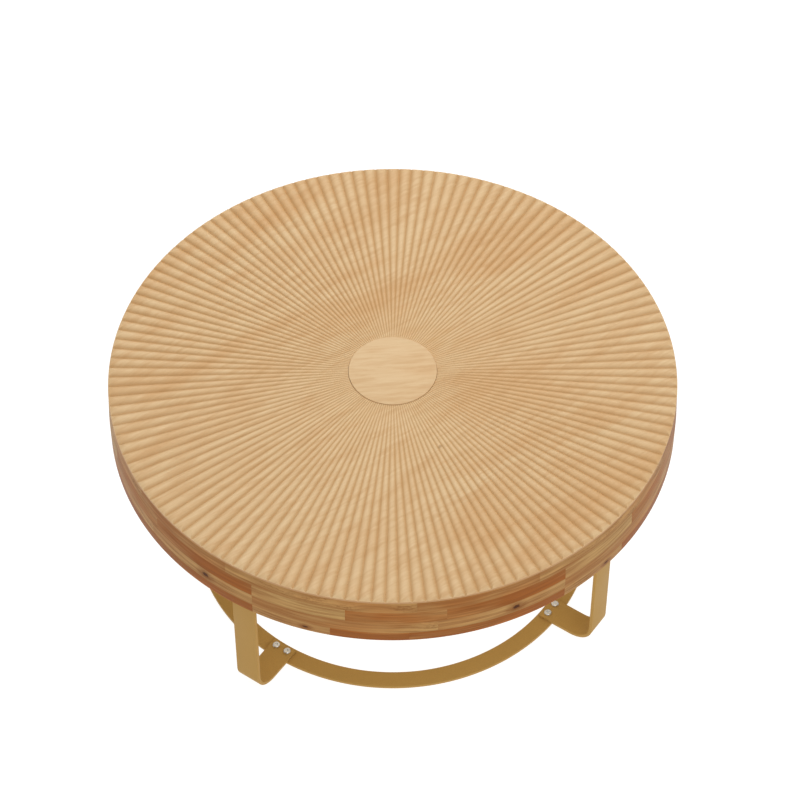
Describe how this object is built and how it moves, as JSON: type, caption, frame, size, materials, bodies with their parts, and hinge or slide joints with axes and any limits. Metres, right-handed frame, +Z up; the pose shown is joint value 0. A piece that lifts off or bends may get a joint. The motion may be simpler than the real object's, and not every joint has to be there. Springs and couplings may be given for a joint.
{
  "type": "low table",
  "caption": "Round low table with a reeded sunburst wooden top on a drum of glued staves, standing on bent flat-bar legs bolted to a floor ring.",
  "frame": {"origin": "on the floor, at the centre of the table", "axes": "+Z up; the four legs stand on the X and Y axes"},
  "size_m": [0.8, 0.8, 0.3589],
  "materials": {
    "reeded_wood": "satin clear-coated, grain across the reeds",
    "disc_wood": "satin clear-coated",
    "stave_wood": "satin clear-coated, staves of mixed tone",
    "board_wood": "satin",
    "rail_wood": "sawn, unfinished",
    "gold_paint": "satin gold paint",
    "bolt_steel": "zinc plated",
    "insert_brass": "turned",
    "screw_steel": "yellow zinc",
    "pad_rubber": "matte"
  },
  "bodies": {
    "root": {"fluted_top": "reeded_wood", "centre_disc": "disc_wood", "rim_course_1": "stave_wood", "rim_course_2": "stave_wood", "rim_course_3": "stave_wood", "rim_course_4": "stave_wood", "base_board": "board_wood", "cross_rail_x": "rail_wood", "cross_rail_y": "rail_wood", "leg_east": "gold_paint", "leg_north": "gold_paint", "leg_west": "gold_paint", "leg_south": "gold_paint", "base_ring": "gold_paint", "floor_pads": "pad_rubber", "foot_bolts": "bolt_steel", "flange_bolts": "bolt_steel", "flange_washers": "bolt_steel", "threaded_inserts": "insert_brass", "board_screws": "screw_steel", "rail_screws": "screw_steel"}
  },
  "joints": []
}
